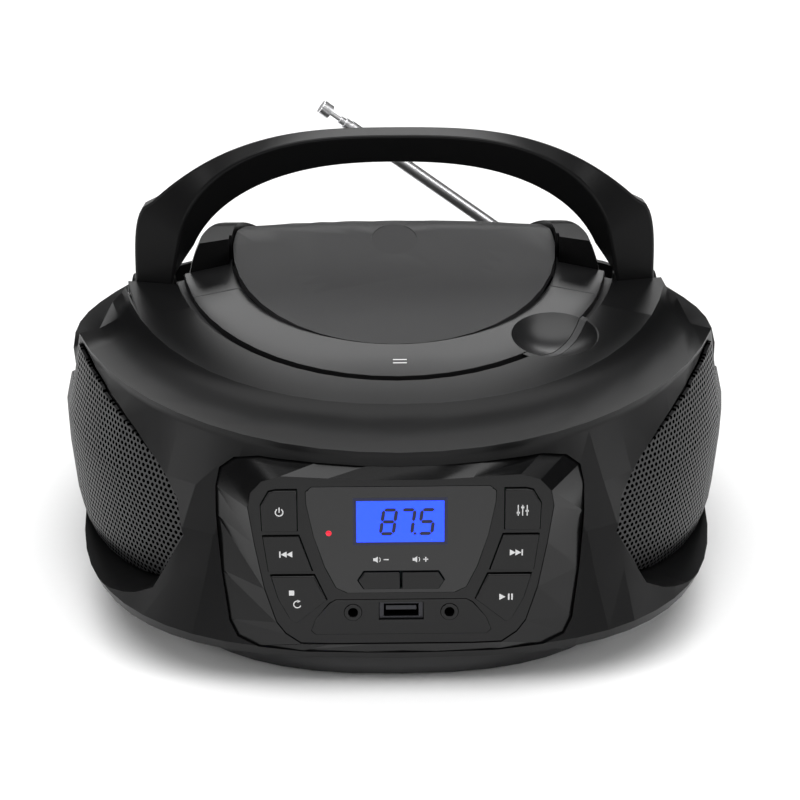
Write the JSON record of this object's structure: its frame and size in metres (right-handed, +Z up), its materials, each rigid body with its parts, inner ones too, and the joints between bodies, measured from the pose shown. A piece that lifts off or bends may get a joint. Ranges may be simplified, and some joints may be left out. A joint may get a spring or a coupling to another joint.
{
  "type": "portable CD radio",
  "caption": "Portable oval CD radio with a folding handle, a lifting lid, side speakers, a front control panel, a battery bay and a telescopic aerial.",
  "frame": {"origin": "centre of the bounding box at the table, under the rubber feet", "axes": "+Z up, the control panel faces -Y, +X is the radio's right side as seen from the front"},
  "size_m": [0.2658, 0.2533, 0.1728],
  "materials": {
    "board": "solder mask",
    "body_black": "satin",
    "chrome": "polished",
    "cone_paper": "matte",
    "contact": "plated",
    "copper_red": "satin",
    "core": "varnished",
    "deck_ring": "satin",
    "gloss_black": "gloss",
    "grey_plastic": "matte",
    "grille_black": "satin, perforated",
    "inner_black": "matte",
    "lcd_blue": "backlit",
    "led_red": "gloss",
    "lens": "clear",
    "panel_texture": "fine texture",
    "rubber": "matte",
    "steel": "bright",
    "window": "gloss, tinted"
  },
  "bodies": {
    "cabinet": {"base_plate": "inner_black", "rubber_feet": "rubber", "cabinet_screws": "steel", "lower_cabinet": "body_black", "upper_cabinet": "body_black", "cd_well": "inner_black", "cd_chassis": "steel", "cd_dampers": "rubber", "sled_rails": "steel", "spindle_motor": "steel", "sled_motor": "steel", "front_bezel": "gloss_black", "control_panel": "gloss_black", "display_window": "window", "lcd_module": "lcd_blue", "power_led": "led_red", "port_panel": "gloss_black", "usb_socket": "steel", "jacks": "gloss_black", "key_board": "board", "key_switches": "inner_black", "main_board": "board", "grille_left": "grille_black", "grille_right": "grille_black", "speaker_trim_left": "gloss_black", "speaker_trim_right": "gloss_black", "speaker_left": "copper_red", "speaker_right": "copper_red", "cone_left": "cone_paper", "cone_right": "cone_paper", "transformer": "core", "mains_inlet": "inner_black", "battery_box": "inner_black", "battery_contacts": "contact", "handle_pins": "steel", "lid_pins": "steel", "antenna_bracket": "steel", "ring_ends": "deck_ring"},
    "handle": {"handle": "body_black"},
    "lid": {"lid_ring": "deck_ring", "lid_panel": "panel_texture"},
    "clamp": {"disc_clamp": "grey_plastic"},
    "spindle": {"turntable": "inner_black"},
    "sled": {"laser_sled": "grey_plastic", "laser_lens": "lens"},
    "screw": {"sled_screw": "steel"},
    "power_key": {"power_key": "gloss_black"},
    "previous_key": {"previous_key": "gloss_black"},
    "stop_key": {"stop_key": "gloss_black"},
    "mode_key": {"mode_key": "gloss_black"},
    "next_key": {"next_key": "gloss_black"},
    "play_key": {"play_key": "gloss_black"},
    "volume_down_key": {"volume_down_key": "gloss_black"},
    "volume_up_key": {"volume_up_key": "gloss_black"},
    "battery_door": {"battery_door": "body_black"},
    "antenna_base": {"antenna_knuckle": "chrome"},
    "antenna_tube": {"antenna_tube": "chrome"},
    "antenna_middle": {"antenna_middle": "chrome"},
    "antenna_inner": {"antenna_inner": "chrome"},
    "antenna_rod": {"antenna_rod": "chrome"}
  },
  "joints": [
    {"name": "handle_fold", "type": "hinge", "parent": "cabinet", "child": "handle", "pos_m": [0, 0.0095, 0.0995], "axis": [-1, 0, 0], "range_deg": [0, 90]},
    {"name": "lid_open", "type": "hinge", "parent": "cabinet", "child": "lid", "pos_m": [0, 0.058, 0.1005], "axis": [-1, 0, 0], "range_deg": [0, 25]},
    {"name": "clamp_spin", "type": "hinge", "parent": "lid", "child": "clamp", "pos_m": [0, 0, 0.0985], "axis": [0, 0, 1], "continuous": true},
    {"name": "turntable_spin", "type": "hinge", "parent": "cabinet", "child": "spindle", "pos_m": [0, 0, 0.088], "axis": [0, 0, 1], "continuous": true},
    {"name": "sled_slide", "type": "slide", "parent": "cabinet", "child": "sled", "axis": [0, -1, 0], "range_m": [0, 0.033]},
    {"name": "screw_spin", "type": "hinge", "parent": "cabinet", "child": "screw", "pos_m": [0.009, -0.044, 0.0826], "axis": [0, 1, 0], "continuous": true},
    {"name": "power_press", "type": "slide", "parent": "cabinet", "child": "power_key", "axis": [0, 0.9889, -0.1483], "range_m": [0, 0.0007], "stiffness_N_per_m": 400},
    {"name": "previous_press", "type": "slide", "parent": "cabinet", "child": "previous_key", "axis": [0, 0.9889, -0.1483], "range_m": [0, 0.0007], "stiffness_N_per_m": 400},
    {"name": "stop_press", "type": "slide", "parent": "cabinet", "child": "stop_key", "axis": [0, 0.9889, -0.1483], "range_m": [0, 0.0007], "stiffness_N_per_m": 400},
    {"name": "mode_press", "type": "slide", "parent": "cabinet", "child": "mode_key", "axis": [0, 0.9889, -0.1483], "range_m": [0, 0.0007], "stiffness_N_per_m": 400},
    {"name": "next_press", "type": "slide", "parent": "cabinet", "child": "next_key", "axis": [0, 0.9889, -0.1483], "range_m": [0, 0.0007], "stiffness_N_per_m": 400},
    {"name": "play_press", "type": "slide", "parent": "cabinet", "child": "play_key", "axis": [0, 0.9889, -0.1483], "range_m": [0, 0.0007], "stiffness_N_per_m": 400},
    {"name": "volume_down_press", "type": "slide", "parent": "cabinet", "child": "volume_down_key", "axis": [0, 0.9889, -0.1483], "range_m": [0, 0.0007], "stiffness_N_per_m": 400},
    {"name": "volume_up_press", "type": "slide", "parent": "cabinet", "child": "volume_up_key", "axis": [0, 0.9889, -0.1483], "range_m": [0, 0.0007], "stiffness_N_per_m": 400},
    {"name": "battery_door_open", "type": "hinge", "parent": "cabinet", "child": "battery_door", "pos_m": [0, 0.1194, 0.0152], "axis": [-1, 0, 0], "range_deg": [0, 88]},
    {"name": "antenna_swing", "type": "hinge", "parent": "cabinet", "child": "antenna_base", "pos_m": [0.071, 0.1145, 0.071], "axis": [0, 1, 0], "range_deg": [-36.5, 90]},
    {"name": "antenna_elbow", "type": "hinge", "parent": "antenna_base", "child": "antenna_tube", "pos_m": [0.071, 0.1145, 0.071], "axis": [-0.5948, 0, -0.8039], "range_deg": [0, 80]},
    {"name": "antenna_middle_extend", "type": "slide", "parent": "antenna_tube", "child": "antenna_middle", "axis": [-0.8039, 0, 0.5948], "range_m": [0, 0.09]},
    {"name": "antenna_inner_extend", "type": "slide", "parent": "antenna_middle", "child": "antenna_inner", "axis": [-0.8039, 0, 0.5948], "range_m": [0, 0.088]},
    {"name": "antenna_rod_extend", "type": "slide", "parent": "antenna_inner", "child": "antenna_rod", "axis": [-0.8039, 0, 0.5948], "range_m": [0, 0.086]}
  ]
}
